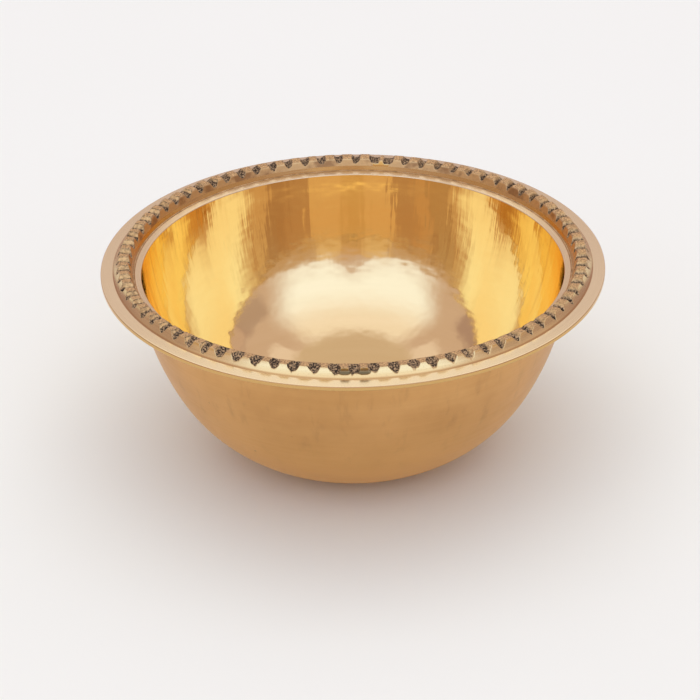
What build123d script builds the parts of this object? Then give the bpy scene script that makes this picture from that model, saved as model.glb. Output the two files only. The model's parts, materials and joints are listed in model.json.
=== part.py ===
from build123d import *
import math
import os

# A small brass urli: a round bowl with a flange round its mouth and a ring of beads on the
# flange. Millimetres, +Z up, Z is the bowl's axis and the flat foot stands on Z = 0. Angles run
# anticlockwise from +X, seen from above.

# ---- Driving dimensions ----
rim_diameter = 150.0
flange_edge_thickness = 1.25
flange_fall = 0.35
flange_root_thickness = 2.4
flange_edge_round = 0.3
flange_bore_radius = 65.3
flange_bevel_depth = 1.2

wall_thickness = 2.0
lip_outer_radius = 65.0
lip_drop = 1.35
lip_fall = 0.4
lip_round = 0.35
neck_drop = 4.4
neck_slope = 6.2
upper_arc_radius = 86.6
upper_arc_turn = 22.4
lower_arc_radius = 49.1
foot_corner = 14.0
foot_corner_round = 0.8
floor_corner_round = 12.0

bead_height = 2.8
bead_foot_radius = 71.4
crest_outer_radius = 69.4
crest_inner_radius = 66.7
cove_hollow = 0.18

notch_floor_width = 1.65
notch_crest_width = 3.0
notch_depth = 1.6
notch_floor_height = 0.75
notch_floor_tilt = 7.5
notch_corner_round = 0.4

front_seam_angle = 270.0
back_seam_start = 79.6
back_seam_end = 84.0
left_bead_count = 40
right_bead_count = 37
seam_half_gap = 0.7
front_seam_height = 1.75
back_seam_height = 1.25

braze_recess = 0.12
braze_leg = 1.4
braze_hollow = 0.3

# ---- Worked out from the driving dimensions ----
rim_radius = rim_diameter / 2
lower_heading = neck_slope + upper_arc_turn
foot_heading = 90 - foot_corner


def sin_deg(angle):
    return math.sin(math.radians(angle))


def cos_deg(angle):
    return math.cos(math.radians(angle))


neck_length = neck_drop - lip_drop
neck_radius = lip_outer_radius - neck_length * math.tan(math.radians(neck_slope))
upper_arc_fall = upper_arc_radius * (sin_deg(lower_heading) - sin_deg(neck_slope))
lower_arc_fall = lower_arc_radius * (sin_deg(foot_heading) - sin_deg(lower_heading))
flange_top = neck_drop + upper_arc_fall + lower_arc_fall
neck_z = flange_top - neck_drop
flange_bottom_edge_z = flange_top - flange_fall - flange_edge_thickness
lip_z = flange_top - lip_drop

# The wall's two arcs: a centre is where the wall stands plus its radius, square to its heading.
upper_centre = (
    neck_radius - upper_arc_radius * cos_deg(neck_slope),
    neck_z + upper_arc_radius * sin_deg(neck_slope),
)
join_point = (
    upper_centre[0] + upper_arc_radius * cos_deg(lower_heading),
    upper_centre[1] - upper_arc_radius * sin_deg(lower_heading),
)
lower_centre = (
    join_point[0] - lower_arc_radius * cos_deg(lower_heading),
    join_point[1] + lower_arc_radius * sin_deg(lower_heading),
)
floor_drop = lower_centre[1] - wall_thickness
floor_heading = math.degrees(math.asin(floor_drop / (lower_arc_radius - wall_thickness)))


def outer_radius_on_neck(z):
    return lip_outer_radius - (lip_z - z) * math.tan(math.radians(neck_slope))


# ---- Bowl shell: wall, flat foot and the lip that shows inside the beads ----
with BuildPart() as bowl_shell:
    with BuildSketch(Plane.XZ):
        with BuildLine():
            outer_neck = Line((lip_outer_radius, lip_z), (neck_radius, neck_z))
            outer_upper = CenterArc(upper_centre, upper_arc_radius, -neck_slope, -upper_arc_turn)
            outer_lower = CenterArc(
                lower_centre, lower_arc_radius, -lower_heading, lower_heading - foot_heading
            )
            foot = Line(outer_lower @ 1, (0, 0))
            axis_line = Line((0, 0), (0, wall_thickness))
            inner_lower = CenterArc(
                lower_centre,
                lower_arc_radius - wall_thickness,
                -floor_heading,
                floor_heading - lower_heading,
            )
            floor = Line((0, wall_thickness), inner_lower @ 0)
            inner_upper = CenterArc(
                upper_centre, upper_arc_radius - wall_thickness, -lower_heading, upper_arc_turn
            )
            inner_neck = Line(
                inner_upper @ 1,
                (lip_outer_radius - wall_thickness, lip_z - lip_fall),
            )
            lip = Line(inner_neck @ 1, (lip_outer_radius, lip_z))
        make_face()
    revolve(axis=Axis.Z)
    foot_edges = bowl_shell.edges().filter_by(GeomType.CIRCLE).group_by(Axis.Z)[0]
    fillet(foot_edges, foot_corner_round)
    floor_edges = bowl_shell.edges().filter_by(GeomType.CIRCLE).filter_by(
        lambda edge: abs(edge.center().Z - wall_thickness) < 0.01
    )
    fillet(floor_edges, floor_corner_round)
    lip_edges = bowl_shell.edges().filter_by(GeomType.CIRCLE).filter_by(
        lambda edge: abs(edge.center().Z - (lip_z - lip_fall)) < 0.01
    )
    fillet(lip_edges, lip_round)

# ---- Rim flange: thicker at its root, bevelled at its bore, falling away outside the beads ----
bevel_run = flange_bevel_depth * (crest_inner_radius - flange_bore_radius) / (
    flange_bevel_depth + bead_height
)
bead_inner_foot_radius = flange_bore_radius + bevel_run

with BuildPart() as rim_flange:
    with BuildSketch(Plane.XZ):
        with BuildLine():
            Polyline(
                (flange_bore_radius, flange_top - flange_root_thickness),
                (flange_bore_radius, flange_top - flange_bevel_depth),
                (bead_inner_foot_radius, flange_top),
                (bead_foot_radius, flange_top),
                (rim_radius, flange_top - flange_fall),
                (rim_radius, flange_bottom_edge_z),
                close=True,
            )
        make_face()
    revolve(axis=Axis.Z)
    edge_corners = rim_flange.edges().filter_by(GeomType.CIRCLE).filter_by(
        lambda edge: edge.radius > rim_radius - 0.01
    )
    fillet(edge_corners, flange_edge_round)

# ---- Neck braze: fills the joint between neck and flange, with a hollow fillet underneath ----
braze_top = flange_top - lip_drop - braze_recess
braze_shelf = flange_top - flange_root_thickness
braze_bottom = braze_shelf - braze_leg
underside_rise = (flange_root_thickness - flange_fall - flange_edge_thickness) / (
    rim_radius - flange_bore_radius
)
braze_toe = (
    flange_bore_radius + braze_leg,
    braze_shelf + underside_rise * braze_leg,
)

with BuildPart() as neck_braze:
    with BuildSketch(Plane.XZ):
        with BuildLine():
            joint_sides = Polyline(
                (outer_radius_on_neck(braze_bottom), braze_bottom),
                (outer_radius_on_neck(braze_top), braze_top),
                (flange_bore_radius, braze_top),
                (flange_bore_radius, braze_shelf),
                braze_toe,
            )
            SagittaArc(joint_sides @ 0, joint_sides @ 1, braze_hollow)
        make_face()
    revolve(axis=Axis.Z)

# ---- Notch cutter: a radial trench with sloping sides, cut between every two beads ----
notch_side_slope = (notch_crest_width - notch_floor_width) / 2 / notch_depth
cutter_height = 2 * notch_depth
cutter_half_top = notch_floor_width / 2 + notch_side_slope * cutter_height
cutter_start = bead_inner_foot_radius - 1.0
cutter_length = bead_foot_radius - cutter_start + 1.0
notch_plane = Plane(
    origin=(cutter_start, 0, flange_top + notch_floor_height - sin_deg(notch_floor_tilt)),
    x_dir=(0, 1, 0),
    z_dir=(cos_deg(notch_floor_tilt), 0, sin_deg(notch_floor_tilt)),
)

with BuildPart() as notch_cutter:
    with BuildSketch(notch_plane) as notch_section:
        with BuildLine():
            Polyline(
                (-notch_floor_width / 2, 0),
                (notch_floor_width / 2, 0),
                (cutter_half_top, cutter_height),
                (-cutter_half_top, cutter_height),
                close=True,
            )
        make_face()
        fillet(notch_section.vertices().group_by(Axis.Z)[0], notch_corner_round)
    extrude(amount=cutter_length)


def bead_strip(first_notch, last_notch, bead_count, start_trim, end_trim):
    """A length of bead strip from one notch to another, its ends cut back by the trims."""
    start = first_notch + start_trim
    span = last_notch - end_trim - start
    with BuildPart() as strip:
        with BuildSketch(Plane.XZ.rotated((0, 0, start))):
            with BuildLine():
                Polyline(
                    (bead_foot_radius, flange_top),
                    (bead_inner_foot_radius, flange_top),
                    (crest_inner_radius, flange_top + bead_height),
                    (crest_outer_radius, flange_top + bead_height),
                )
                SagittaArc(
                    (bead_foot_radius, flange_top),
                    (crest_outer_radius, flange_top + bead_height),
                    cove_hollow,
                )
            make_face()
        revolve(axis=Axis.Z, revolution_arc=span)
        with PolarLocations(
            0, bead_count + 1, first_notch, last_notch - first_notch, endpoint=True
        ):
            add(notch_cutter.part, mode=Mode.SUBTRACT)
    return strip


# ---- Bead strips: two lengths of beading, which meet at the front and nearly at the back ----
bead_strip_left = bead_strip(
    back_seam_end, front_seam_angle, left_bead_count, 0, seam_half_gap
)
bead_strip_right = bead_strip(
    front_seam_angle, back_seam_start + 360, right_bead_count, seam_half_gap, 0
)


def seam_braze(start, end, height):
    """A low filling of braze on the flange between two ends of the bead strips."""
    lean = height / bead_height
    inner_top = bead_inner_foot_radius + lean * (crest_inner_radius - bead_inner_foot_radius)
    outer_top = bead_foot_radius - lean * (bead_foot_radius - crest_outer_radius) - cove_hollow
    with BuildPart() as braze:
        with BuildSketch(Plane.XZ.rotated((0, 0, start))):
            with BuildLine():
                Polyline(
                    (bead_inner_foot_radius, flange_top),
                    (bead_foot_radius, flange_top),
                    (outer_top, flange_top + height),
                    (inner_top, flange_top + height),
                    close=True,
                )
            make_face()
        revolve(axis=Axis.Z, revolution_arc=end - start)
    return braze


# ---- Seam brazes: the fillings where the two bead strips meet ----
seam_braze_front = seam_braze(
    front_seam_angle - seam_half_gap, front_seam_angle + seam_half_gap, front_seam_height
)
seam_braze_back = seam_braze(back_seam_start, back_seam_end, back_seam_height)

# ---- Export ----
pieces = {
    "bowl_shell": bowl_shell,
    "rim_flange": rim_flange,
    "neck_braze": neck_braze,
    "bead_strip_left": bead_strip_left,
    "bead_strip_right": bead_strip_right,
    "seam_braze_front": seam_braze_front,
    "seam_braze_back": seam_braze_back,
}
os.makedirs("parts", exist_ok=True)
for name, piece in pieces.items():
    piece.part.label = name
    export_step(piece.part, f"parts/{name}.step")
    print(name, len(piece.part.solids()), round(piece.part.volume, 2))
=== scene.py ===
import json
import math

import bpy
import numpy as np
from mathutils import Matrix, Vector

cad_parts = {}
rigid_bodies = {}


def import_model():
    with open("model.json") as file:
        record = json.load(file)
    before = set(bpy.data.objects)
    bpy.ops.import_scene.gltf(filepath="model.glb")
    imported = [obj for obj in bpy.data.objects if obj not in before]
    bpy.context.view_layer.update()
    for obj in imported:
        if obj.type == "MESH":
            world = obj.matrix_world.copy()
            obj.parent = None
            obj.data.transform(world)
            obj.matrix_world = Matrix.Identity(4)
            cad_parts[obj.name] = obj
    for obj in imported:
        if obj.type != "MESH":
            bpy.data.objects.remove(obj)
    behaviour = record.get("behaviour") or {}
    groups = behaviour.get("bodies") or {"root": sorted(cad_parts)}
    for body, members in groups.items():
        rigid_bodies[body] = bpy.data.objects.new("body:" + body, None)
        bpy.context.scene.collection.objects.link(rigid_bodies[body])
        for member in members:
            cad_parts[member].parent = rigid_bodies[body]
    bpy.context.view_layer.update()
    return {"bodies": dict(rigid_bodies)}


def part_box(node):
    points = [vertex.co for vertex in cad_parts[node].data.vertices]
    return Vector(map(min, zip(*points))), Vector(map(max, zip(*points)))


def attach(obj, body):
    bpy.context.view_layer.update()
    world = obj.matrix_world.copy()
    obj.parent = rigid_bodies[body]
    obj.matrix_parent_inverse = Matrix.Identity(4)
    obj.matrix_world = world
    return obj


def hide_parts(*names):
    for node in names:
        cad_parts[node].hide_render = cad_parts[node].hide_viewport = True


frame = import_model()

MM = 0.001
BODY = sorted(frame["bodies"])[0]

# ---------------------------------------------------------------- sizes, in metres
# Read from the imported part.
RIM_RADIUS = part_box("rim_flange")[1].x
FLANGE_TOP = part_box("rim_flange")[1].z
FLANGE_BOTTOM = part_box("rim_flange")[0].z
LIP_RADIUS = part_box("bowl_shell")[1].x
LIP_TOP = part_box("bowl_shell")[1].z
BEAD_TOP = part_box("bead_strip_left")[1].z
BRAZE_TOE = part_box("neck_braze")[1].x
BRAZE_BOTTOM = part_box("neck_braze")[0].z

# The flange: its top falls a little towards the edge, where it is thinnest. Braze fills its bore.
FLANGE_EDGE = 1.25 * MM
FLANGE_FALL = 0.35 * MM
FLANGE_BORE = 65.3 * MM
FLANGE_BEVEL = 1.2 * MM
EDGE_ROUND = 0.3 * MM
BRAZE_HOLLOW = 0.3 * MM

# The bowl: a steep neck, then two arcs down to a flat foot. Headings are angles below the horizontal.
WALL = 2.0 * MM
LIP_FALL = 0.4 * MM
LIP_INNER_ROUND = 0.35 * MM
LIP_OUTER_ROUND = 0.12 * MM
NECK_DROP = 4.4 * MM
NECK_SLOPE = math.radians(6.2)
UPPER_RADIUS = 86.6 * MM
LOWER_RADIUS = 49.1 * MM
LOWER_HEADING = math.radians(28.6)
FOOT_ROUND = 0.8 * MM
FLOOR_ROUND = 12.0 * MM

# The beading: a sloped inner flank, a narrow crest and a hollow outer flank.
BEAD_HEIGHT = BEAD_TOP - FLANGE_TOP
BEAD_OUTER_FOOT = 71.4 * MM
CREST_OUTER = 69.4 * MM
CREST_INNER = 66.7 * MM
CREST_MIDDLE = (CREST_INNER + CREST_OUTER) / 2
COVE_HOLLOW = 0.18 * MM
SHOULDER_ROUND = 0.8 * MM
BEAD_INNER_FOOT = FLANGE_BORE + FLANGE_BEVEL * (CREST_INNER - FLANGE_BORE) / (FLANGE_BEVEL + BEAD_HEIGHT)

# Places in the ring, in degrees: 0 is the right, 90 the back and 270 the front.
FRONT_SEAM = 270.0
BACK_SEAM_START = 79.6
BACK_SEAM_END = 84.0
SEAM_HALF_GAP = 0.7
# Where the painted shade and soot in the notches are darkest.
DARKEST_NOTCH = 266.0
LEFT_BEADS = 40
RIGHT_BEADS = 37

# Two points of an outline that are closer than this count as one.
SAME_POINT = 1e-7


# ---------------------------------------------------------------- outlines, as (radius, height) points
def arc(centre, radius, start, end, steps):
    """Points along an arc; angles are headings, measured down from the outward horizontal."""
    turns = np.linspace(start, end, steps)
    return [(centre[0] + radius * math.cos(t), centre[1] - radius * math.sin(t)) for t in turns]


def straight(start, end, steps):
    """Points along a straight run, both ends included."""
    shares = np.linspace(0, 1, steps)
    return [(start[0] + (end[0] - start[0]) * s, start[1] + (end[1] - start[1]) * s) for s in shares]


def join(*runs):
    """One outline from several runs, without the points that repeat where they meet."""
    points = []
    for run in runs:
        for point in run:
            if not points or math.dist(point, points[-1]) > SAME_POINT:
                points.append(point)
    return points


def rounded(before, corner, after, radius, steps=7):
    """The arc that rounds off a corner between two straight runs."""
    corner = np.array(corner)
    one = np.array(before) - corner
    two = np.array(after) - corner
    one /= np.linalg.norm(one)
    two /= np.linalg.norm(two)
    half = math.acos(float(np.clip(one @ two, -1, 1))) / 2
    middle = (one + two) / np.linalg.norm(one + two)
    centre = corner + middle * radius / math.sin(half)
    start = corner + one * radius / math.tan(half) - centre
    end = corner + two * radius / math.tan(half) - centre
    turn = math.atan2(start[0] * end[1] - start[1] * end[0], start @ end)
    first = math.atan2(start[1], start[0])
    return [
        (centre[0] + radius * math.cos(first + turn * s), centre[1] + radius * math.sin(first + turn * s))
        for s in np.linspace(0, 1, steps)
    ]


def floor_fillet(arc_centre, arc_radius, floor, radius, steps):
    """The arc between a level floor and the inside of a larger arc: (points, heading where it ends)."""
    rise = floor + radius
    reach = math.sqrt((arc_radius - radius) ** 2 - (arc_centre[1] - rise) ** 2)
    centre = (arc_centre[0] + reach, rise)
    heading = math.atan2(arc_centre[1] - rise, reach)
    return arc(centre, radius, math.pi / 2, heading, steps), heading


def hollowed(start, end, depth, steps):
    """A run between two points that bends to its right, by depth at its middle."""
    start = np.array(start)
    chord = np.array(end) - start
    inward = np.array((chord[1], -chord[0])) / np.linalg.norm(chord)
    shares = np.linspace(0, 1, steps)
    return [tuple(start + chord * s + inward * (4 * s * (1 - s) * depth)) for s in shares]


def bowl_outline():
    """The shell's inside, lip and outside, from the middle of its floor to the middle of its foot."""
    neck_height = FLANGE_TOP - NECK_DROP
    neck = (LIP_RADIUS - (LIP_TOP - neck_height) * math.tan(NECK_SLOPE), neck_height)
    upper = (neck[0] - UPPER_RADIUS * math.cos(NECK_SLOPE), neck[1] + UPPER_RADIUS * math.sin(NECK_SLOPE))
    step = UPPER_RADIUS - LOWER_RADIUS
    lower = (upper[0] + step * math.cos(LOWER_HEADING), upper[1] - step * math.sin(LOWER_HEADING))
    inner_fillet, inner_heading = floor_fillet(lower, LOWER_RADIUS - WALL, WALL, FLOOR_ROUND, 14)
    outer_fillet, outer_heading = floor_fillet(lower, LOWER_RADIUS, 0.0, FOOT_ROUND, 7)
    inner_wall = arc(upper, UPPER_RADIUS - WALL, LOWER_HEADING, NECK_SLOPE, 60)
    lip_inner = (LIP_RADIUS - WALL, LIP_TOP - LIP_FALL)
    lip_outer = (LIP_RADIUS, LIP_TOP)
    inner_round = rounded(inner_wall[-1], lip_inner, lip_outer, LIP_INNER_ROUND)
    outer_round = rounded(lip_inner, lip_outer, neck, LIP_OUTER_ROUND, 4)
    inside = join(
        straight((0, WALL), inner_fillet[0], 24),
        inner_fillet,
        arc(lower, LOWER_RADIUS - WALL, inner_heading, LOWER_HEADING, 70),
        inner_wall,
        straight(inner_wall[-1], inner_round[0], 8),
    )
    lip = join(inner_round, straight(inner_round[-1], lip_outer, 10)[:-1])
    outside = join(
        outer_round,
        straight(outer_round[-1], neck, 8),
        arc(upper, UPPER_RADIUS, NECK_SLOPE, LOWER_HEADING, 60),
        arc(lower, LOWER_RADIUS, LOWER_HEADING, outer_heading, 60),
        reversed(outer_fillet),
        straight(outer_fillet[0], (0, 0), 24),
    )
    return inside, lip, outside


def flange_outline():
    """The flange's outline: top face, rounded edge, tapered underside, bore and bevel."""
    top_corner = (RIM_RADIUS, FLANGE_TOP - FLANGE_FALL)
    low_corner = (RIM_RADIUS, FLANGE_TOP - FLANGE_FALL - FLANGE_EDGE)
    bore_bottom = (FLANGE_BORE, FLANGE_BOTTOM)
    bore_top = (FLANGE_BORE, FLANGE_TOP - FLANGE_BEVEL)
    bevel_top = (BEAD_INNER_FOOT, FLANGE_TOP)
    bead_foot = (BEAD_OUTER_FOOT, FLANGE_TOP)
    top_round = rounded(bead_foot, top_corner, low_corner, EDGE_ROUND)
    low_round = rounded(top_corner, low_corner, bore_bottom, EDGE_ROUND)
    return join(
        straight(bevel_top, bead_foot, 24),
        straight(bead_foot, top_round[0], 16),
        top_round,
        straight(top_round[-1], low_round[0], 5),
        low_round,
        straight(low_round[-1], bore_bottom, 24),
        straight(bore_bottom, bore_top, 4),
        straight(bore_top, bevel_top, 8)[:-1],
    )


def neck_outline():
    """The braze's outline: up the neck, across the joint line, down the bore and back along the fillet."""
    edge_bottom = FLANGE_TOP - FLANGE_FALL - FLANGE_EDGE
    taper = (edge_bottom - FLANGE_BOTTOM) / (RIM_RADIUS - FLANGE_BORE)
    neck_bottom = (LIP_RADIUS - (LIP_TOP - BRAZE_BOTTOM) * math.tan(NECK_SLOPE), BRAZE_BOTTOM)
    neck_top = (LIP_RADIUS, LIP_TOP)
    bore_top = (FLANGE_BORE, FLANGE_TOP - FLANGE_BEVEL)
    bore_bottom = (FLANGE_BORE, FLANGE_BOTTOM)
    toe = (BRAZE_TOE, FLANGE_BOTTOM + (BRAZE_TOE - FLANGE_BORE) * taper)
    return join(
        straight(neck_bottom, neck_top, 5),
        straight(neck_top, bore_top, 3),
        straight(bore_top, bore_bottom, 3),
        straight(bore_bottom, toe, 4),
        hollowed(toe, neck_bottom, BRAZE_HOLLOW, 9),
    )[:-1]


def bead_outline():
    """The bead strip's upper outline before any notch is cut, from its inner foot to its outer foot."""
    inner_foot = (BEAD_INNER_FOOT, FLANGE_TOP)
    crest_end = (CREST_OUTER, BEAD_TOP)
    shoulder = rounded(inner_foot, (CREST_INNER, BEAD_TOP), crest_end, SHOULDER_ROUND, 10)
    inner = straight(inner_foot, shoulder[0], 15)
    crest = straight(shoulder[-1], crest_end, 12)
    cove = hollowed(crest_end, (BEAD_OUTER_FOOT, FLANGE_TOP), COVE_HOLLOW, 21)
    return np.array(join(inner, shoulder, crest, cove))


# ---------------------------------------------------------------- seeded irregularity
class Grain:
    """Smooth random values from -1 to 1 over a plane, from a seeded table of numbers."""

    def __init__(self, seed, size=64):
        self.size = size
        self.table = np.random.RandomState(seed).uniform(-1, 1, (size, size))

    def __call__(self, x, y, cell):
        x, y = np.broadcast_arrays(x / cell, y / cell)
        left = np.floor(x).astype(int)
        low = np.floor(y).astype(int)
        across = x - left
        along = y - low
        across = across * across * (3 - 2 * across)
        along = along * along * (3 - 2 * along)
        left %= self.size
        low %= self.size
        right = (left + 1) % self.size
        high = (low + 1) % self.size
        near = self.table[left, low] * (1 - across) + self.table[right, low] * across
        far = self.table[left, high] * (1 - across) + self.table[right, high] * across
        return near * (1 - along) + far * along


# ---------------------------------------------------------------- meshes
def new_piece(name, points, faces, materials, face_materials=None, sharp_angle=40):
    """A smooth-shaded mesh object with its materials."""
    mesh = bpy.data.meshes.new(name)
    mesh.from_pydata([tuple(p) for p in points], [], faces)
    for material in materials:
        mesh.materials.append(material)
    if face_materials is not None:
        mesh.polygons.foreach_set("material_index", face_materials)
    mesh.validate()
    mesh.shade_smooth()
    mesh.set_sharp_from_angle(angle=math.radians(sharp_angle))
    piece = bpy.data.objects.new(name, mesh)
    bpy.context.scene.collection.objects.link(piece)
    return piece


def turned(turns, radii, heights):
    """The points of an outline at each of several turns round the axis, one row for each turn."""
    points = np.empty((len(turns), len(radii), 3))
    points[..., 0] = np.cos(turns)[:, None] * radii
    points[..., 1] = np.sin(turns)[:, None] * radii
    points[..., 2] = heights
    return points


def full_circle(segments):
    """Even turns all the way round, in radians."""
    return np.linspace(0, 2 * math.pi, segments, endpoint=False)


def lathe_ring(name, outline, segments, materials):
    """Turns a closed outline round the axis."""
    count = len(outline)
    ring = np.array(outline)
    points = turned(full_circle(segments), ring[:, 0], ring[:, 1])
    faces = []
    for j in range(segments):
        here = j * count
        there = (j + 1) % segments * count
        for i in range(count):
            after = (i + 1) % count
            faces.append((here + i, here + after, there + after, there + i))
    return new_piece(name, points.reshape(-1, 3), faces, materials)


def lathe_bowl(name, runs, segments, materials):
    """Turns an outline that starts and ends on the axis; each run of it has its own material."""
    outline = [point for run in runs for point in run]
    run_of = [index for index, run in enumerate(runs) for _ in run]
    inner = np.array(outline[1:-1])
    count = len(inner)
    points = turned(full_circle(segments), inner[:, 0], inner[:, 1]).reshape(-1, 3).tolist()
    points.append((0, 0, outline[0][1]))
    points.append((0, 0, outline[-1][1]))
    top_pole = len(points) - 2
    low_pole = len(points) - 1
    faces = []
    indices = []
    for j in range(segments):
        here = j * count
        there = (j + 1) % segments * count
        faces.append((top_pole, here, there))
        indices.append(run_of[0])
        for i in range(count - 1):
            faces.append((here + i, here + i + 1, there + i + 1, there + i))
            indices.append(run_of[i + 2])
        faces.append((here + count - 1, low_pole, there + count - 1))
        indices.append(run_of[-1])
    return new_piece(name, points, faces, materials, indices)


def sculpted_band(name, angles, heights, marks, materials):
    """A closed band on the flange: heights over angles and the bead outline, level underneath."""
    points = turned(np.radians(angles), bead_outline()[:, 0], heights)
    columns, rows = heights.shape
    faces = []
    for j in range(columns - 1):
        here = j * rows
        there = here + rows
        for i in range(rows - 1):
            faces.append((here + i, there + i, there + i + 1, here + i + 1))
        faces.append((here + rows - 1, there + rows - 1, there, here))
    faces.append(tuple(range(rows)))
    faces.append(tuple(reversed(range((columns - 1) * rows, columns * rows))))
    piece = new_piece(name, points.reshape(-1, 3), faces, materials, sharp_angle=75)
    for mark, values in marks.items():
        layer = piece.data.attributes.new(mark, "FLOAT", "POINT")
        layer.data.foreach_set("value", values.reshape(-1).astype(np.float32))
    return piece


# ---------------------------------------------------------------- the beading
def soft_min(one, other, rounding):
    """The lower of two surfaces, with a small round where they cross."""
    share = np.clip(0.5 + 0.5 * (other - one) / rounding, 0, 1)
    return other * (1 - share) + one * share - rounding * share * (1 - share)


def smooth_step(value, low, high):
    """Nothing at low, one at high, with a smooth rise between."""
    share = np.clip((value - low) / (high - low), 0, 1)
    return share * share * (3 - 2 * share)


def blend(share, first, second):
    """A value between two others."""
    return first + (second - first) * share


def hollow(along, radius, middle_along, middle_radius, half_along, half_radius, depth):
    """A shallow oval dent, as a depth to take away."""
    inside = 1 - ((along - middle_along) / half_along) ** 2 - ((radius - middle_radius) / half_radius) ** 2
    return depth * np.sqrt(np.clip(inside, 0, 1))


# How far notches differ from one another, as standard deviations.
FLOOR_SPREAD = 0.08 * MM
TILT_SPREAD = 0.03
EASY_SPREAD = 0.10 * MM
STEEP_SPREAD = 0.08 * MM
TWIST_SPREAD = 0.08
PLACE_SPREAD = 0.10 * MM

# A notch's floor above the flange, and how steeply the floor rises outwards.
FLOOR_RIGHT = 0.80 * MM
FLOOR_LEFT = 0.95 * MM
FLOOR_FRONT = 2.0 * MM
FLOOR_TILT = 0.06
FLOOR_TILT_FRONT = -0.37

# From a notch's middle to the crest beside it: on the easy side, and on the steeper side.
EASY_REACH = 1.72 * MM
EASY_REACH_LEFT = 2.05 * MM
STEEP_REACH = 1.45 * MM
STEEP_REACH_RIGHT = 1.7 * MM
NOTCH_SPAN = 3.6 * MM      # no notch reaches further than this
FRONT_NARROWING = 0.11     # share by which front notches narrow from the crest's middle to its edge

# How high the painted shade and soot climb in a notch that is FULL_DEPTH deep, and the share of that where
# they are thick.
SOOT_SHADE_RIGHT = 2.2 * MM
SOOT_SHADE_LEFT = 0.85 * MM
SOOT_SHADE_DARKEST = 2.6 * MM
SOOT_SHADE_BACK = 1.7 * MM
SOOT_SHADE_THICK = 0.62
FULL_DEPTH = 2.0 * MM

# Distances from a notch's middle: where its right-hand wall starts to lose its painted shade and where it is
# most lit, and where its pale pocket starts and is palest. A pocket on the left starts past the middle.
# The share says how much of the painted shade and soot a lit right-hand wall has lost.
LIT_WALL_START = 0.25 * MM
LIT_WALL_FULL = 0.80 * MM
LIT_WALL_SHARE = 0.8
POCKET_PAST_MIDDLE = 0.6 * MM
POCKET_FULL = 0.3 * MM

# The grain of the crest and of the notches: the size of its cells, and its height.
CREST_CELL = 0.22 * MM
CREST_GRIT = 0.03 * MM
WARP_CELL = 0.9 * MM
WARP = 0.12 * MM
LUMP_CELL = 0.55 * MM
LUMP = 0.10 * MM
LUMP_FRONT = 0.20 * MM
GRIT_CELL = 0.26 * MM
GRIT = 0.08 * MM

# Where a notch meets the crest: how round its edge is, how deep its marks take to fade in, and how
# deep and how strong the dark line of painted shade just inside its edge is.
ROUNDING_LEFT = 0.14 * MM
ROUNDING_RIGHT = 0.45 * MM
CUT_EDGE = 0.16 * MM
DARK_LINE = 0.15 * MM
DARK_LINE_LEFT = 0.95
DARK_LINE_RIGHT = 0.15

UNCUT = 1.0                # a height above every bead
BACK_WEAR = 0.16           # share of their height that the beads at the back have lost
CREST_FULL = 0.25 * MM     # depths below the crest where its grain starts to fade, and has gone
CREST_GONE = 0.6 * MM
CREST_MARGIN = 0.05 * MM


class Place:
    """Where a notch is in the ring, as shares from 0 to 1 that its shape, its soot and painted shade, and
    its pale pocket follow.
    """

    def __init__(self, notch):
        self.turn = math.radians(notch)
        rightward = math.cos(self.turn)
        self.left = (1 - rightward) / 2
        self.front = float(smooth_step(-math.sin(self.turn), 0.3, 0.85))
        self.side = float(smooth_step(abs(rightward), 0.35, 0.85))
        self.back = (1 - self.side) * (1 - self.front)
        self.left_side = self.side * self.left
        self.right_side = self.side * float(smooth_step(rightward, 0.0, 0.7))
        self.clean = float(smooth_step(rightward, 0.15, 0.55))
        self.near_darkest = float(smooth_step(abs(notch - DARKEST_NOTCH), 34.0, 8.0))


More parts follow.
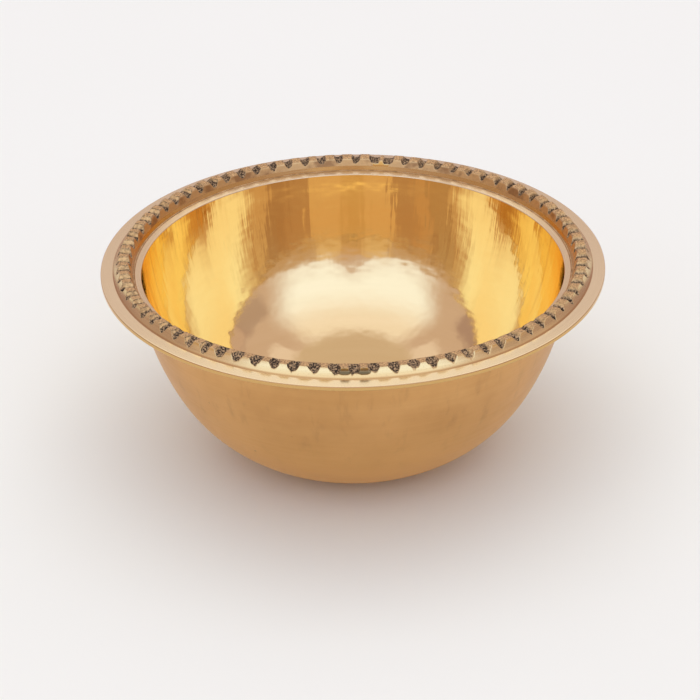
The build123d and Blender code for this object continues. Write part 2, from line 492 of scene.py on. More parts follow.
def cut_notch(notch, draw, coarse, fine, along, radius):
    """One notch: which columns it may reach, its surface there, its soot with painted shade and its pale
    pocket.
    """
    place = Place(notch)
    floor_height = blend(place.front, blend(place.left, FLOOR_RIGHT, FLOOR_LEFT), FLOOR_FRONT)
    floor = FLANGE_TOP + floor_height + draw.normal(0, FLOOR_SPREAD)
    tilt = blend(place.front, FLOOR_TILT, FLOOR_TILT_FRONT) + draw.normal(0, TILT_SPREAD)
    easy_reach = blend(place.left_side, EASY_REACH, EASY_REACH_LEFT) + draw.normal(0, EASY_SPREAD)
    steep_reach = blend(place.right_side, STEEP_REACH, STEEP_REACH_RIGHT) + draw.normal(0, STEEP_SPREAD)
    twist = draw.normal(0, TWIST_SPREAD)
    middle = place.turn * CREST_MIDDLE + draw.normal(0, PLACE_SPREAD) + (easy_reach - steep_reach) / 2
    near = np.abs(along[:, 0] - middle) < NOTCH_SPAN
    here = along[near]
    outward = radius - CREST_MIDDLE
    from_middle = here - middle - twist * outward + WARP * coarse(here, radius, WARP_CELL)

    # Front notches narrow outwards. On the right the steep side swells into a rounded bead.
    width = 1 - FRONT_NARROWING * place.front * outward / (CREST_OUTER - CREST_MIDDLE)
    easy_share = np.clip(-from_middle / (easy_reach * width), 0, None)
    steep_share = np.clip(from_middle / (steep_reach * width), 0, None)
    easy_side = easy_share ** blend(place.left_side, 2.1, 1.7)
    rounded_side = 1 - np.clip(1 - steep_share, 0, 1) ** 2.2 + np.clip(steep_share - 1, 0, None)
    steep_side = blend(place.right_side, steep_share ** 2.5, rounded_side)
    climb = (BEAD_TOP - floor) * (easy_side + steep_side)
    rough = blend(place.front, LUMP, LUMP_FRONT) * coarse(here, radius, LUMP_CELL)
    rough = rough + GRIT * fine(here, radius, GRIT_CELL)
    surface = floor + tilt * outward + climb + rough

    # Painted shade with soot fills the floor and climbs the walls, least on the lit right-hand walls of the
    # right side.
    soot_shade_reach = blend(place.left, SOOT_SHADE_RIGHT, SOOT_SHADE_LEFT) * (BEAD_TOP - floor) / FULL_DEPTH
    soot_shade_reach = blend(place.back, blend(place.near_darkest, soot_shade_reach, SOOT_SHADE_DARKEST), SOOT_SHADE_BACK)
    clean = place.clean * smooth_step(from_middle, LIT_WALL_START, LIT_WALL_FULL)
    soot_shade = 1 - smooth_step(climb, SOOT_SHADE_THICK * soot_shade_reach, soot_shade_reach)
    # The pale pocket: pale patina with a painted highlight, on the walls that face the front.
    pocket = smooth_step(-from_middle, -POCKET_PAST_MIDDLE * place.left, POCKET_FULL)
    return near, surface, soot_shade * (1 - LIT_WALL_SHARE * clean), blend(place.clean, pocket, clean)


def cut_beads(angles, notch_angles, seed):
    """Heights and marks of a bead strip: turned flanks, a grainy crest and hand-cut notches."""
    outline = bead_outline()
    draw = np.random.RandomState(seed)
    coarse = Grain(seed + 1)
    fine = Grain(seed + 2)
    radius = outline[:, 0][None, :]
    turns = np.radians(angles)[:, None]
    along = turns * CREST_MIDDLE
    base = np.repeat(outline[:, 1][None, :], len(angles), axis=0)
    crest = smooth_step(base, BEAD_TOP - CREST_GONE, BEAD_TOP - CREST_FULL)
    crest = crest * (radius < CREST_OUTER + CREST_MARGIN)
    wear = BACK_WEAR * smooth_step(np.sin(turns), 0.45, 0.95)
    base = FLANGE_TOP + (base - FLANGE_TOP) * (1 - wear)
    base = base + crest * CREST_GRIT * (fine(along, radius, CREST_CELL) - 1)
    cut = np.full_like(base, UNCUT)
    # dark gathers the painted shade and soot of the notches.
    dark = np.zeros_like(base)
    pocket = np.zeros_like(base)
    for notch in notch_angles:
        near, surface, soot_shade, pale = cut_notch(notch, draw, coarse, fine, along, radius)
        deepest = surface < cut[near]
        dark[near] = np.where(deepest, soot_shade, dark[near])
        pocket[near] = np.where(deepest, pale, pocket[near])
        cut[near] = np.minimum(cut[near], surface)
    right_share = (1 + np.cos(turns)) / 2
    heights = soft_min(base, cut, blend(right_share ** 2, ROUNDING_LEFT, ROUNDING_RIGHT))
    inside = smooth_step(base - cut, 0.0, CUT_EDGE)
    # Painted shade: a dark line just inside each notch's edge, strongest on the left.
    line_strength = blend(smooth_step(right_share, 0.2, 0.75), DARK_LINE_LEFT, DARK_LINE_RIGHT)
    dark_line = line_strength * np.exp(-(((base - cut) / DARK_LINE - 0.6) ** 2))
    heights[:, (0, -1)] = FLANGE_TOP
    marks = {
        "dark": np.maximum(dark * inside, dark_line),
        "pocket": pocket * inside,
        "cast": np.maximum(crest, inside),
    }
    return heights, marks, along, radius


# The two stained hollows at the front end of each length: radius and half their width.
STAINED_HOLLOWS = ((69.95 * MM, 0.50 * MM), (66.35 * MM, 0.45 * MM))
HOLLOW_FROM_SEAM = 2.65 * MM
HOLLOW_HALF_LENGTH = 1.95 * MM
HOLLOW_DEPTH = 0.30 * MM
STAIN_FULL = 0.10 * MM     # depth in a hollow where its stain is at its strongest
INNER_FADE = 0.35 * MM     # how far inside the crest's edge the inner flank's colour is full

# The fillings between lengths of beading: their lumps, the hump of one, and how they are rounded.
FILLING_LUMP_CELL = 0.8 * MM
FILLING_LUMP = 0.20 * MM
FILLING_GRIT_CELL = 0.3 * MM
FILLING_GRIT = 0.08 * MM
FILLING_ROUNDING = 0.15 * MM
HUMP_HALF_LENGTH = 0.75 * MM
HUMP_UNSHADED = 0.2 * MM      # a hump this high is free of painted shade and soot

BEADING_STEP = 0.165 * MM
FILLING_STEP = 0.12 * MM
FEWEST_COLUMNS = 8


def band_angles(start, end, step):
    """Even angles, in degrees, about a step apart along the crest."""
    columns = int(round(math.radians(end - start) * CREST_MIDDLE / step))
    return np.linspace(start, end, max(FEWEST_COLUMNS, columns))


def beading(name, start, end, notches, seed, materials):
    """One length of beading, with the stained hollows of its front end."""
    angles = band_angles(start, end, BEADING_STEP)
    heights, marks, along, radius = cut_beads(angles, notches, seed)
    stain = np.zeros_like(heights)
    side = -1 if end < FRONT_SEAM else 1
    middle = math.radians(FRONT_SEAM) * CREST_MIDDLE + side * HOLLOW_FROM_SEAM
    for place, half_width in STAINED_HOLLOWS:
        dent = hollow(along, radius, middle, place, HOLLOW_HALF_LENGTH, half_width, HOLLOW_DEPTH)
        heights = heights - dent
        stain = np.maximum(stain, np.clip(dent / STAIN_FULL, 0, 1))
    heights = np.maximum(heights, FLANGE_TOP)
    inner_flank = smooth_step(CREST_INNER - radius, 0.0, INNER_FADE)
    marks["stain"] = stain
    marks["inner"] = np.repeat(inner_flank, len(angles), axis=0)
    return sculpted_band(name, angles, heights, marks, materials)


def seam_filling(name, start, end, height, tilt, hump, seed, materials):
    """A filling of braze between two ends of the beading, with a tilt and a hump in its middle."""
    angles = band_angles(start, end, FILLING_STEP)
    outline = bead_outline()
    radius = outline[:, 0]
    grain = Grain(seed)
    along = np.radians(angles)[:, None] * CREST_MIDDLE
    base = np.repeat(outline[:, 1][None, :], len(angles), axis=0)
    lumps = FILLING_LUMP * grain(along, radius, FILLING_LUMP_CELL)
    lumps = lumps + FILLING_GRIT * grain(along, radius, FILLING_GRIT_CELL)
    middle = math.radians((start + end) / 2) * CREST_MIDDLE
    on_hump = np.exp(-(((along - middle) / HUMP_HALF_LENGTH) ** 4))
    crown = FLANGE_TOP + height + tilt * (radius - CREST_MIDDLE) + hump * on_hump + lumps
    heights = soft_min(base, crown, FILLING_ROUNDING)
    heights[:, (0, -1)] = FLANGE_TOP
    # The filling's cut edges carry painted shade with soot; the hump rises clear of it.
    cut = smooth_step(base - crown, 0.0, CUT_EDGE)
    bare = on_hump * smooth_step(hump, 0.0, HUMP_UNSHADED)
    zeros = np.zeros_like(heights)
    marks = {"dark": cut * (1 - bare), "pocket": zeros, "cast": cut, "stain": zeros, "inner": zeros}
    return sculpted_band(name, angles, heights, marks, materials)


# ---------------------------------------------------------------- material helpers
class Tree:
    """A short way to write the nodes of a material or of the world."""

    def __init__(self, node_tree):
        self.nodes = node_tree.nodes
        self.links = node_tree.links

    def add(self, kind, inputs=None, **settings):
        node = self.nodes.new(kind)
        for key, value in settings.items():
            setattr(node, key, value)
        for key, value in (inputs or {}).items():
            self.put(node.inputs[key], value)
        return node

    def put(self, socket, value):
        """Links a socket to another one, or gives it a fixed value."""
        if isinstance(value, bpy.types.NodeSocket):
            self.links.new(value, socket)
        else:
            socket.default_value = value

    def math(self, operation, first, second=0.0):
        node = self.add("ShaderNodeMath", operation=operation)
        self.put(node.inputs[0], first)
        self.put(node.inputs[1], second)
        return node.outputs[0]

    def product(self, *values):
        result = values[0]
        for value in values[1:]:
            result = self.math("MULTIPLY", result, value)
        return result

    def span(self, value, low, high, new_low=0.0, new_high=1.0):
        """An even rise or fall from new_low to new_high while a value goes from low to high."""
        node = self.add("ShaderNodeMapRange", {"Value": value, "From Min": low, "From Max": high})
        node.inputs["To Min"].default_value = new_low
        node.inputs["To Max"].default_value = new_high
        return node.outputs["Result"]

    def smooth(self, value, low, high):
        """Nothing at low, one at high, with a smooth rise between; low may be the larger of the two."""
        node = self.add("ShaderNodeMapRange", {"Value": value}, interpolation_type="SMOOTHSTEP")
        node.inputs["From Min"].default_value = min(low, high)
        node.inputs["From Max"].default_value = max(low, high)
        node.inputs["To Min"].default_value = 0.0 if low < high else 1.0
        node.inputs["To Max"].default_value = 1.0 if low < high else 0.0
        return node.outputs["Result"]

    def mix(self, share, first, second):
        node = self.add("ShaderNodeMix", data_type="RGBA")
        self.put(node.inputs["Factor"], share)
        self.put(node.inputs["A"], first)
        self.put(node.inputs["B"], second)
        return node.outputs["Result"]

    def noise(self, vector, scale, detail, roughness=0.5, w=None):
        node = self.add("ShaderNodeTexNoise", {"Vector": vector, "Scale": scale, "Detail": detail})
        node.inputs["Roughness"].default_value = roughness
        if w is not None:
            node.noise_dimensions = "4D"
            self.put(node.inputs["W"], w)
        return node.outputs["Fac"]

    def attribute(self, name):
        return self.add("ShaderNodeAttribute", attribute_name=name).outputs["Fac"]

    def position(self):
        return self.add("ShaderNodeTexCoord").outputs["Object"]

    def axes(self, vector):
        """A vector's X, Y and Z."""
        return self.add("ShaderNodeSeparateXYZ", {"Vector": vector}).outputs

    def vector(self, **axes):
        return self.add("ShaderNodeCombineXYZ", axes).outputs["Vector"]

    def from_axis(self):
        """The position without its height: a level vector out from the bowl's axis."""
        axes = self.axes(self.position())
        return self.vector(X=axes["X"], Y=axes["Y"])

    def radius(self):
        """The distance from the bowl's axis."""
        return self.add("ShaderNodeVectorMath", {0: self.from_axis()}, operation="LENGTH").outputs["Value"]

    def bump(self, height, distance, normal=None, strength=1.0):
        node = self.add("ShaderNodeBump", {"Height": height, "Strength": strength, "Distance": distance})
        if normal is not None:
            self.put(node.inputs["Normal"], normal)
        return node.outputs["Normal"]


class Finish(Tree):
    """A new material and its nodes."""

    def __init__(self, name):
        self.material = bpy.data.materials.new(name)
        self.material.use_nodes = True
        super().__init__(self.material.node_tree)
        self.shader = self.nodes["Principled BSDF"]

    def set(self, name, value):
        self.put(self.shader.inputs[name], value)

    def turned_metal(self, anisotropy):
        """Bare metal whose gloss is drawn out by marks that run round the axis."""
        self.set("Metallic", 1.0)
        self.set("Anisotropic", anisotropy)
        self.set("Anisotropic Rotation", 0.25)
        tangent = self.add("ShaderNodeTangent", direction_type="RADIAL", axis="Z")
        self.set("Tangent", tangent.outputs["Tangent"])


def lathe_lines(tree, spacing, waver, detail=2.0):
    """Noise that runs in rings round the axis, as turning tools leave it: spacing in metres."""
    height = tree.axes(tree.position())["Z"]
    heading = tree.add("ShaderNodeVectorMath", {0: tree.from_axis()}, operation="NORMALIZE")
    turn = tree.axes(heading.outputs["Vector"])
    place = tree.vector(
        X=tree.product(tree.radius(), 1 / spacing),
        Y=tree.product(turn["X"], waver),
        Z=tree.product(turn["Y"], waver),
    )
    return tree.noise(place, 1.0, detail, 0.55, w=tree.product(height, 1 / spacing))


# ---------------------------------------------------------------- materials
INSIDE_DEEP = (0.965, 0.775, 0.375, 1)
INSIDE_PALE = (0.99, 0.805, 0.40, 1)
INSIDE_UPPER = (0.98, 0.725, 0.315, 1)
# Painted reflection: a paler tint at the left and right of the inside, crossed there by darker upright
# streaks.
INSIDE_SIDES_REFLECTION = (1.0, 0.84, 0.43, 1)
INSIDE_STREAKS_REFLECTION = (0.72, 0.47, 0.19, 1)


def polished_brass():
    """The mirror-polished inside: deeper gold high on the wall, with faint rings and upright waves."""
    tree = Finish("polished_brass_inside")
    place = tree.position()
    axes = tree.axes(place)
    rings = lathe_lines(tree, 0.55 * MM, 1.2)
    broad = lathe_lines(tree, 3.5 * MM, 0.8)
    cloud = tree.noise(place, 28.0, 3.0)
    tint = tree.mix(tree.span(broad, 0.3, 0.7), INSIDE_DEEP, INSIDE_PALE)
    tint = tree.mix(tree.smooth(axes["Z"], 30 * MM, 54 * MM), tint, INSIDE_UPPER)
    # Painted reflection: paler at the left and right of the view, with darker upright streaks there.
    sideways = tree.smooth(tree.math("ABSOLUTE", axes["X"]), 51 * MM, 61 * MM)
    tint = tree.mix(sideways, tint, INSIDE_SIDES_REFLECTION)
    streaks = tree.smooth(lathe_lines(tree, 45.0 * MM, 17.0, 3.0), 0.52, 0.62)
    tint = tree.mix(tree.product(streaks, sideways, 0.6), tint, INSIDE_STREAKS_REFLECTION)
    tree.set("Base Color", tint)
    tree.turned_metal(0.55)
    ring_rough = tree.span(rings, 0.3, 0.75, 0.045, 0.085)
    tree.set("Roughness", tree.math("ADD", ring_rough, tree.span(cloud, 0.35, 0.7, 0.0, 0.03)))
    wavy = tree.bump(tree.noise(place, 60.0, 1.0, 0.4), 0.10 * MM)
    rippled = tree.bump(lathe_lines(tree, 3.4 * MM, 11.0, 1.0), 0.075 * MM, wavy)
    high = tree.smooth(axes["Z"], 20 * MM, 48 * MM)
    uneven = tree.bump(lathe_lines(tree, 22.0 * MM, 28.0, 2.0), 0.07 * MM, rippled, high)
    tree.set("Normal", tree.bump(rings, 0.0012 * MM, uneven))
    return tree.material


OUTSIDE_DARK = (0.61, 0.33, 0.12, 1)
OUTSIDE_LIGHT = (0.72, 0.41, 0.16, 1)
OUTSIDE_MARKS = (0.43, 0.225, 0.085, 1)
OUTSIDE_RINGS = (0.76, 0.46, 0.20, 1)
# Painted light: the paler colour the outside takes towards its foot.
OUTSIDE_LOWER_PAINTED_LIGHT = (0.88, 0.54, 0.20, 1)
OUTSIDE_PITS = (0.16, 0.08, 0.035, 1)


def satin_brass():
    """The outside: brown-gold satin, paler lower down where light is painted in, with level turning lines,
    upright marks and pits.
    """
    tree = Finish("satin_brass_outside")
    place = tree.position()
    fine = lathe_lines(tree, 0.35 * MM, 2.0, 4.0)
    broad = lathe_lines(tree, 2.6 * MM, 1.4, 3.0)
    upright = tree.add("ShaderNodeMapping", {"Vector": place, "Scale": (1.0, 1.0, 0.16)})
    marks = tree.noise(upright.outputs["Vector"], 260.0, 4.0, 0.6)
    patches = tree.noise(place, 38.0, 4.0, 0.6)
    tone = tree.mix(tree.span(patches, 0.35, 0.68), OUTSIDE_DARK, OUTSIDE_LIGHT)
    tone = tree.mix(tree.span(marks, 0.56, 0.78, 0.0, 0.45), tone, OUTSIDE_MARKS)
    tone = tree.mix(tree.span(broad, 0.35, 0.7, 0.0, 0.22), tone, OUTSIDE_RINGS)
    # Painted light: the outside turns paler towards the foot, as if lit from below.
    tone = tree.mix(tree.smooth(tree.axes(place)["Z"], 44 * MM, 4 * MM), tone, OUTSIDE_LOWER_PAINTED_LIGHT)
    cells = tree.add("ShaderNodeTexVoronoi", {"Vector": place, "Scale": 210.0, "Randomness": 1.0})
    chosen = tree.span(tree.noise(place, 120.0, 1.0), 0.60, 0.68)
    pit = tree.product(tree.span(cells.outputs["Distance"], 0.10, 0.04), chosen)
    tree.set("Base Color", tree.mix(pit, tone, OUTSIDE_PITS))
    tree.turned_metal(0.5)
    tree.set("Roughness", tree.span(fine, 0.25, 0.75, 0.34, 0.50))
    lined = tree.bump(fine, 0.006 * MM)
    tree.set("Normal", tree.bump(tree.math("SUBTRACT", 1.0, pit), 0.05 * MM, lined))
    return tree.material


def turned_brass(name, light, dark, rough):
    """Fine turned brass, as the lip and the flange have it: the new material's nodes and its tone."""
    tree = Finish(name)
    fine = lathe_lines(tree, 0.16 * MM, 3.0, 3.0)
    patches = tree.noise(tree.position(), 90.0, 5.0, 0.65)
    tone = tree.mix(tree.span(fine, 0.3, 0.7), dark, light)
    tone = tree.mix(tree.span(patches, 0.55, 0.75, 0.0, 0.4), tone, dark)
    tree.set("Base Color", tone)
    tree.turned_metal(0.4)
    tree.set("Roughness", tree.span(fine, 0.25, 0.75, rough - 0.05, rough + 0.06))
    tree.set("Normal", tree.bump(fine, 0.0022 * MM))
    return tree, tone


LIP_LIGHT = (0.96, 0.83, 0.52, 1)
LIP_DARK = (0.88, 0.74, 0.45, 1)
FLANGE_LIGHT = (0.98, 0.88, 0.56, 1)
FLANGE_DARK = (0.95, 0.83, 0.51, 1)
# Painted shade: the flange's recess at its bore and its outer edge.
FLANGE_RECESS_SHADE = (0.72, 0.53, 0.25, 1)
FLANGE_RIM_SHADE = (0.67, 0.42, 0.16, 1)


def lip_brass():
    """The plain lip inside the beading."""
    tree, _ = turned_brass("turned_lip", LIP_LIGHT, LIP_DARK, 0.24)
    return tree.material


def flange_brass():
    """The flange, with painted shade darkening the recess at its bore and its outer edge."""
    tree, tone = turned_brass("turned_flange", FLANGE_LIGHT, FLANGE_DARK, 0.20)
    radius = tree.radius()
    # Painted shade in the recess at the bore and on the outer edge.
    recess = tree.smooth(radius, FLANGE_BORE + 0.6 * MM, FLANGE_BORE + 0.45 * MM)
    rim = tree.smooth(radius, RIM_RADIUS - 0.2 * MM, RIM_RADIUS - 0.08 * MM)
    tone = tree.mix(recess, tone, FLANGE_RECESS_SHADE)
    tone = tree.mix(rim, tone, FLANGE_RIM_SHADE)
    tree.set("Base Color", tone)
    return tree.material


FLANK_LIGHT = (0.99, 0.81, 0.38, 1)
FLANK_DARK = (0.90, 0.71, 0.31, 1)
FLANK_SPECKS = (0.48, 0.36, 0.19, 1)
# Painted shade on the outer flanks: darker at the left and right of the view, and at their foot.
FLANK_SIDE_SHADE = (0.66, 0.46, 0.22, 1)
FLANK_FOOT_SHADE = (0.66, 0.42, 0.16, 1)
INNER_LIGHT = (0.91, 0.66, 0.30, 1)
INNER_DARK = (0.60, 0.42, 0.19, 1)
INNER_PATINA = (0.46, 0.29, 0.13, 1)
CREST_LIGHT = (0.96, 0.71, 0.34, 1)
CREST_DARK = (0.45, 0.31, 0.15, 1)
# Pale pockets: pale patina, with a painted highlight on walls that face the front.
POCKET_LIGHT = (0.87, 0.64, 0.28, 1)
POCKET_DARK = (0.36, 0.25, 0.11, 1)
# Painted shade with soot, for the notches.
SOOT_SHADE_LIGHT = (0.62, 0.45, 0.24, 1)
SOOT_SHADE_DARK = (0.035, 0.025, 0.014, 1)
STAIN_LIGHT = (0.30, 0.22, 0.10, 1)
STAIN_DARK = (0.10, 0.07, 0.03, 1)


def beading_brass():
    """Turned outer flanks with painted shade, patinated inner ones, a grainy tan crest, and notches with
    soot, painted shade and pale pockets with a painted highlight.
    """
    tree = Finish("beading_brass")
    place = tree.position()
    axes = tree.axes(place)
    cast = tree.attribute("cast")
    dark = tree.attribute("dark")
    inner = tree.attribute("inner")
    pocket = tree.attribute("pocket")
    rings = lathe_lines(tree, 0.30 * MM, 1.5)
    grit = tree.noise(place, 2100.0, 3.0, 0.6)
    mottle = tree.noise(place, 900.0, 5.0, 0.7)
    flank = tree.mix(tree.span(rings, 0.3, 0.7), FLANK_DARK, FLANK_LIGHT)
    flank = tree.mix(tree.span(grit, 0.56, 0.70, 0.0, 0.25), flank, FLANK_SPECKS)
    # Painted shade: the outer flanks darken at the left and right of the view.
    sideways = tree.smooth(tree.math("ABSOLUTE", axes["X"]), 56 * MM, 68 * MM)
    flank = tree.mix(tree.product(sideways, 0.7), flank, FLANK_SIDE_SHADE)
    # Painted shade: the outer flanks darken at their foot, where they meet the flange.
    foot = tree.smooth(axes["Z"], FLANGE_TOP + 0.55 * MM, FLANGE_TOP + 0.2 * MM)
    flank = tree.mix(tree.product(foot, 0.85), flank, FLANK_FOOT_SHADE)
    patina = tree.span(tree.noise(place, 130.0, 4.0, 0.6), 0.50, 0.62)
    inner_flank = tree.mix(patina, tree.mix(mottle, INNER_DARK, INNER_LIGHT), INNER_PATINA)
    tone = tree.mix(inner, flank, inner_flank)
    tone = tree.mix(cast, tone, tree.mix(tree.span(grit, 0.38, 0.62), CREST_DARK, CREST_LIGHT))
    # Pale pockets: pale patina, with a painted highlight on walls that face the front.
    pale = tree.mix(tree.span(mottle, 0.34, 0.56), POCKET_DARK, POCKET_LIGHT)
    tone = tree.mix(tree.product(pocket, 0.85), tone, pale)
    # Painted shade with soot in the notches, and the painted dark line at their edges.
    tone = tree.mix(dark, tone, tree.mix(tree.span(grit, 0.465, 0.61), SOOT_SHADE_DARK, SOOT_SHADE_LIGHT))
    stain = tree.mix(tree.span(rings, 0.42, 0.58), STAIN_DARK, STAIN_LIGHT)
    tree.set("Base Color", tree.mix(tree.product(tree.attribute("stain"), 0.9), tone, stain))
    dull = tree.math("MAXIMUM", dark, tree.product(pocket, 0.6))
    tree.set("Metallic", tree.span(dull, 0.0, 1.0, 1.0, 0.5))
    worn_rough = tree.span(tree.math("MAXIMUM", cast, inner), 0.0, 1.0, 0.20, 0.42)
    tree.set("Roughness", tree.math("MAXIMUM", worn_rough, tree.span(dull, 0.0, 1.0, 0.2, 0.65)))
    tree.set("Normal", tree.bump(tree.product(grit, cast), 0.08 * MM))
    return tree.material


BRAZE_LIGHT = (0.80, 0.60, 0.31, 1)
BRAZE_DARK = (0.48, 0.34, 0.165, 1)


def brazing_brass():
    """Dull brazing metal, lumpy and flux-stained."""
    tree = Finish("brazing_brass")
    place = tree.position()
    mottle = tree.noise(place, 420.0, 5.0, 0.65)
    grit = tree.noise(place, 1900.0, 3.0, 0.6)
    tree.set("Base Color", tree.mix(tree.span(mottle, 0.36, 0.66), BRAZE_DARK, BRAZE_LIGHT))
    tree.set("Metallic", 0.85)
    tree.set("Roughness", tree.span(mottle, 0.3, 0.7, 0.62, 0.40))
    tree.set("Normal", tree.bump(grit, 0.05 * MM))
    return tree.material


FLOOR_LIGHT = (0.87, 0.94, 0.85, 1)
FLOOR_DARK = (0.85, 0.92, 0.83, 1)


def floor_material():
    """Plain pale studio floor with the faintest unevenness."""
    tree = Finish("pale_floor")
    tree.set("Base Color", tree.mix(tree.noise(tree.position(), 6.0, 2.0), FLOOR_DARK, FLOOR_LIGHT))
    tree.set("Roughness", 0.9)
    tree.set("Specular IOR Level", 0.1)
    return tree.material


INSIDE = polished_brass()
OUTSIDE = satin_brass()
LIP = lip_brass()
FLANGE = flange_brass()
BEADING = beading_brass()
BRAZE = brazing_brass()

# ---------------------------------------------------------------- the bowl
bowl = lathe_bowl("urli_bowl", bowl_outline(), segments=420, materials=[INSIDE, LIP, OUTSIDE])
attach(bowl, BODY)
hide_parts("bowl_shell")

flange = lathe_ring("urli_flange", flange_outline(), segments=480, materials=[FLANGE])
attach(flange, BODY)
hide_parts("rim_flange")

# The joint between neck and flange: flush with the lip above, a hollow fillet of braze below.
neck = lathe_ring("neck_joint", neck_outline(), segments=360, materials=[BRAZE])
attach(neck, BODY)
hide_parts("neck_braze")

left_end = FRONT_SEAM - SEAM_HALF_GAP
right_start = FRONT_SEAM + SEAM_HALF_GAP
right_end = BACK_SEAM_START + 360
left_notches = np.linspace(BACK_SEAM_END, FRONT_SEAM, LEFT_BEADS + 1)
right_notches = np.linspace(FRONT_SEAM, right_end, RIGHT_BEADS + 1)
left = beading("beading_left", BACK_SEAM_END, left_end, left_notches, seed=11, materials=[BEADING])
right = beading("beading_right", right_start, right_end, right_notches, seed=29, materials=[BEADING])
front = seam_filling(
    "front_seam",
    left_end,
    right_start,
    height=FLOOR_FRONT,
    tilt=FLOOR_TILT_FRONT,
    hump=0.0,
    seed=5,
    materials=[BEADING],
)
back = seam_filling(
    "back_seam",
    BACK_SEAM_START,
    BACK_SEAM_END,
    height=FLOOR_RIGHT,
    tilt=0.0,
    hump=0.8 * MM,
    seed=17,
    materials=[BEADING],
)
for piece, node, slot in (
    (left, "bead_strip_left", "bead_brass"),
    (right, "bead_strip_right", "bead_brass"),
    (front, "seam_braze_front", "braze"),
    (back, "seam_braze_back", "braze"),
):
    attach(piece, BODY)
    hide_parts(node)

# ---------------------------------------------------------------- floor
FLOOR_HALF = 6.0
FLOOR_GAP = 0.2 * MM

floor_corners = [(x * FLOOR_HALF, y * FLOOR_HALF, 0) for x, y in ((-1, -1), (1, -1), (1, 1), (-1, 1))]
floor_mesh = bpy.data.meshes.new("floor")
floor_mesh.from_pydata(floor_corners, [], [(0, 1, 2, 3)])
floor_mesh.materials.append(floor_material())
floor = bpy.data.objects.new("floor", floor_mesh)
bpy.context.scene.collection.objects.link(floor)
floor.location.z = -FLOOR_GAP

# ---------------------------------------------------------------- studio light
# The tent's tints. The front panel is bluish, because brass takes the blue out of what it reflects.
WALLS = (0.49, 0.355, 0.41, 1)
SIDE_WALLS = (0.43, 0.30, 0.34, 1)
BACK_PANEL = (0.71, 0.57, 0.63, 1)
BACK_MIDDLE = (0.64, 0.50, 0.50, 1)
HIGH_BACK_PANEL = (1.08, 0.96, 0.93, 1)
HIGH_SIDES = (0.80, 0.68, 0.80, 1)
CEILING = (0.63, 0.50, 0.50, 1)
LOW_BAND_SIDES = (0.55, 0.36, 0.26, 1)
LOW_BAND = (0.73, 0.50, 0.30, 1)
LOW_BAND_MIDDLE = (0.61, 0.37, 0.20, 1)
BESIDE_PANEL = (0.62, 0.47, 0.51, 1)
RIGHT_WALL = (0.48, 0.355, 0.39, 1)
RIGHT_CORNER = (0.58, 0.42, 0.45, 1)
FRONT_PANEL = (1.02, 1.11, 1.58, 1)
FRONT_PANEL_TOP = (0.93, 0.86, 1.03, 1)


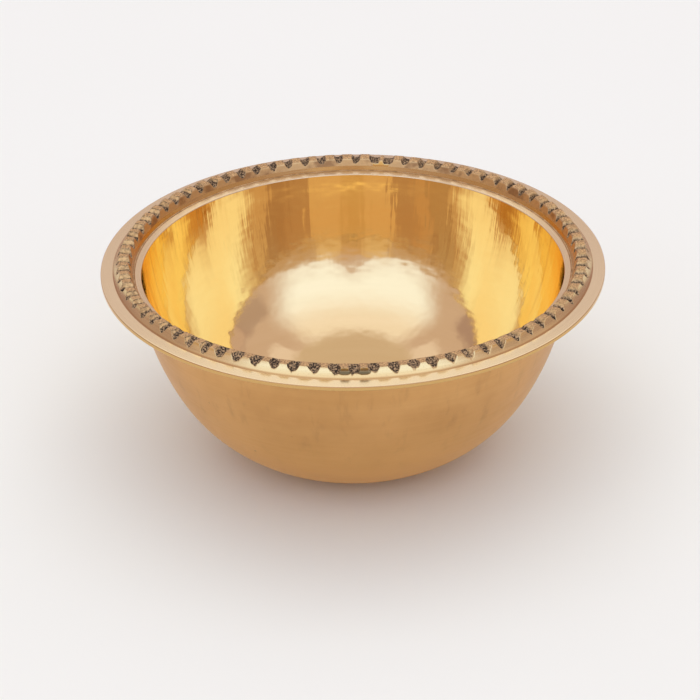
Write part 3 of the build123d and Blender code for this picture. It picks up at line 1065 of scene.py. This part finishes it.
def studio_world():
    """A soft light tent: dim warm walls and ceiling, with brighter panels in front and behind."""
    world = bpy.data.worlds.new("studio")
    bpy.context.scene.world = world
    world.use_nodes = True
    tree = Tree(world.node_tree)
    both = tree.product
    ramp = tree.smooth

    # A direction's height above the horizon and heading from the front, in degrees, right positive.
    ray = tree.axes(tree.add("ShaderNodeTexCoord").outputs["Generated"])
    height = tree.product(tree.math("ARCSINE", ray["Z"]), 180 / math.pi)
    ahead = tree.product(ray["Y"], -1.0)
    heading = tree.product(tree.math("ARCTAN2", ray["X"], ahead), 180 / math.pi)
    off_front = tree.math("ABSOLUTE", heading)

    # The front panel: ragged along its lower edge, which dips in the middle, and narrower lower down.
    ragged = tree.noise(tree.vector(X=tree.product(heading, 0.09)), 1.0, 3.0)
    raised = tree.math("ADD", height, tree.span(ragged, 0.3, 0.7, -1.2, 1.2))
    over_edge = tree.math("SUBTRACT", raised, tree.span(off_front, 0.0, 16.0, 6.5, 0.0))
    narrower = tree.span(height, 24.0, 40.0, 12.0, 0.0)
    front = both(
        ramp(over_edge, 17.2, 18.6),
        tree.span(over_edge, 18.0, 25.0, 0.72, 1.0),
        ramp(tree.math("ADD", heading, narrower), 74.0, 44.0),
        ramp(tree.math("SUBTRACT", heading, narrower), -77.0, -50.0),
        ramp(height, 71.0, 61.0),
    )
    front_tint = tree.mix(ramp(height, 30.0, 58.0), FRONT_PANEL, FRONT_PANEL_TOP)

    facing = ramp(off_front, 86.0, 80.0)
    behind = both(ramp(off_front, 133.0, 134.5), ramp(height, 13.0, 20.0))
    under_panel = ramp(height, 26.0, 22.0)
    beside_panel = both(ramp(height, 16.0, 20.0), ramp(height, 66.0, 60.0))
    low = both(ramp(height, 19.0, 22.0), ramp(height, 36.0, 32.0))
    light = WALLS
    for share, tint in (
        (both(ramp(off_front, 78.0, 88.0), ramp(off_front, 113.0, 106.0)), SIDE_WALLS),
        (both(ramp(off_front, 118.0, 108.0), ramp(height, 32.0, 37.0)), BESIDE_PANEL),
        (behind, BACK_PANEL),
        (both(behind, ramp(off_front, 163.0, 172.0)), BACK_MIDDLE),
        (both(ramp(off_front, 112.0, 128.0), ramp(height, 37.0, 40.0)), HIGH_BACK_PANEL),
        (both(ramp(off_front, 70.0, 84.0), ramp(height, 46.0, 54.0)), HIGH_SIDES),
        (ramp(height, 60.0, 68.0), CEILING),
        (both(facing, under_panel, ramp(height, 0.0, 4.0)), LOW_BAND_SIDES),
        (both(ramp(off_front, 24.0, 19.0), under_panel), LOW_BAND),
        (both(ramp(off_front, 9.0, 5.0), under_panel), LOW_BAND_MIDDLE),
        (both(facing, beside_panel), BESIDE_PANEL),
        (both(ramp(heading, 60.0, 68.0), ramp(heading, 92.0, 86.0), low), RIGHT_WALL),
        (both(ramp(heading, 88.0, 93.0), ramp(heading, 113.0, 106.0), low), RIGHT_CORNER),
        (front, front_tint),
    ):
        light = tree.mix(share, light, tint)
    tree.put(tree.nodes["Background"].inputs["Color"], light)


studio_world()

# A wide soft light above evens out the floor, and is hidden from reflections.
OVERHEAD_SIZE = 3.0
OVERHEAD_POWER = 30.0
OVERHEAD_HEIGHT = 2.5

overhead_data = bpy.data.lights.new("overhead", "AREA")
overhead_data.shape = "SQUARE"
overhead_data.size = OVERHEAD_SIZE
overhead_data.energy = OVERHEAD_POWER
overhead = bpy.data.objects.new("overhead", overhead_data)
bpy.context.scene.collection.objects.link(overhead)
overhead.location = (0, 0, OVERHEAD_HEIGHT)
overhead.visible_glossy = False

# ---------------------------------------------------------------- camera
CAMERA_ELEVATION = math.radians(27.4)
CAMERA_DISTANCE = 11.39 * RIM_RADIUS
CAMERA_PITCH_BELOW = math.radians(1.780)
CAMERA_TURN = math.radians(0.092)
CAMERA_ROLL = math.radians(0.914)
LENS_MM = 147.4
SENSOR_WIDTH_MM = 36.0

camera_data = bpy.data.cameras.new("camera")
camera_data.lens = LENS_MM
camera_data.sensor_width = SENSOR_WIDTH_MM
camera = bpy.data.objects.new("camera", camera_data)
bpy.context.scene.collection.objects.link(camera)
camera.location = (
    0,
    -CAMERA_DISTANCE * math.cos(CAMERA_ELEVATION),
    FLANGE_TOP + CAMERA_DISTANCE * math.sin(CAMERA_ELEVATION),
)
camera.rotation_mode = "XYZ"
look = (
    Matrix.Rotation(CAMERA_TURN, 3, "Z")
    @ Matrix.Rotation(math.pi / 2 - CAMERA_ELEVATION - CAMERA_PITCH_BELOW, 3, "X")
    @ Matrix.Rotation(-CAMERA_ROLL, 3, "Z")
)
camera.rotation_euler = look.to_euler("XYZ")
bpy.context.scene.camera = camera

bpy.context.scene.view_settings.view_transform = "Standard"
bpy.context.scene.view_settings.look = "None"
bpy.context.scene.cycles.glossy_bounces = 8
